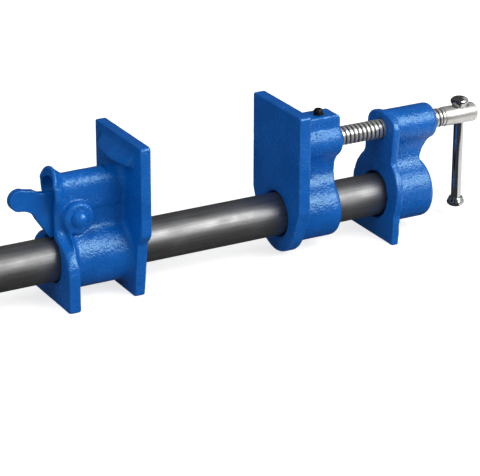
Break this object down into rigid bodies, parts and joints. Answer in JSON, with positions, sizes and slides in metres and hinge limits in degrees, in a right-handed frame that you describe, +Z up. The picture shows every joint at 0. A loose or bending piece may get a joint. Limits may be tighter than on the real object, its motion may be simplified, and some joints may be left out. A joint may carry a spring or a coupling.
{
  "type": "pipe clamp",
  "caption": "Woodworking pipe clamp: screw head and moving jaw at one end of a steel pipe, sliding tail jaw with cam lever on it.",
  "frame": {"origin": "on the bench under the middle of the part's length, below the pipe's centre line", "axes": "+X along the pipe from its free end towards the screw's handle, +Z up from the feet, Y across"},
  "size_m": [0.499, 0.0614, 0.0966],
  "materials": {
    "blue_enamel": "glossy blue enamel over rough cast iron",
    "pipe_steel": "dark rolled steel with a soft sheen",
    "plated_steel": "bright plating over turned steel",
    "bar_chrome": "bright plated bar and caps",
    "black_oxide": "black oxide, half matt",
    "spring_steel": "oiled spring wire"
  },
  "bodies": {
    "pipe_and_head": {"pipe": "pipe_steel", "fixed_head": "blue_enamel"},
    "jaw": {"moving_jaw": "blue_enamel", "jaw_set_screw": "black_oxide"},
    "screw": {"screw_spindle": "plated_steel"},
    "bar": {"tommy_bar": "bar_chrome", "bar_cap_upper": "bar_chrome", "bar_cap_lower": "bar_chrome"},
    "tail": {"tail_jaw": "blue_enamel", "pivot_pin": "blue_enamel", "lever_spring": "spring_steel"},
    "lever": {"cam_lever": "blue_enamel"}
  },
  "joints": [
    {"name": "jaw_slide", "type": "slide", "parent": "pipe_and_head", "child": "jaw", "axis": [1, 0, 0], "range_m": [-0.00675, 0.027]},
    {"name": "screw_turn", "type": "hinge", "parent": "jaw", "child": "screw", "pos_m": [0.1473, 0, 0.069], "axis": [1, 0, 0], "range_deg": [-811, 3241]},
    {"name": "bar_slide", "type": "slide", "parent": "screw", "child": "bar", "axis": [0, 0, 1], "range_m": [0, 0.051]},
    {"name": "tail_slide", "type": "slide", "parent": "pipe_and_head", "child": "tail", "axis": [1, 0, 0], "range_m": [-0.19, 0.088]},
    {"name": "lever_pivot", "type": "hinge", "parent": "tail", "child": "lever", "pos_m": [-0.0327, 0, 0.0533], "axis": [0, 1, 0], "range_deg": [0, 12], "stiffness_Nm_per_rad": 0.2, "springref_deg": -14.32, "deforming": ["lever_spring"]}
  ],
  "couplings": [
    {"joint": "screw_turn", "follows": "jaw_slide", "rad_per_m": 2094.4}
  ]
}
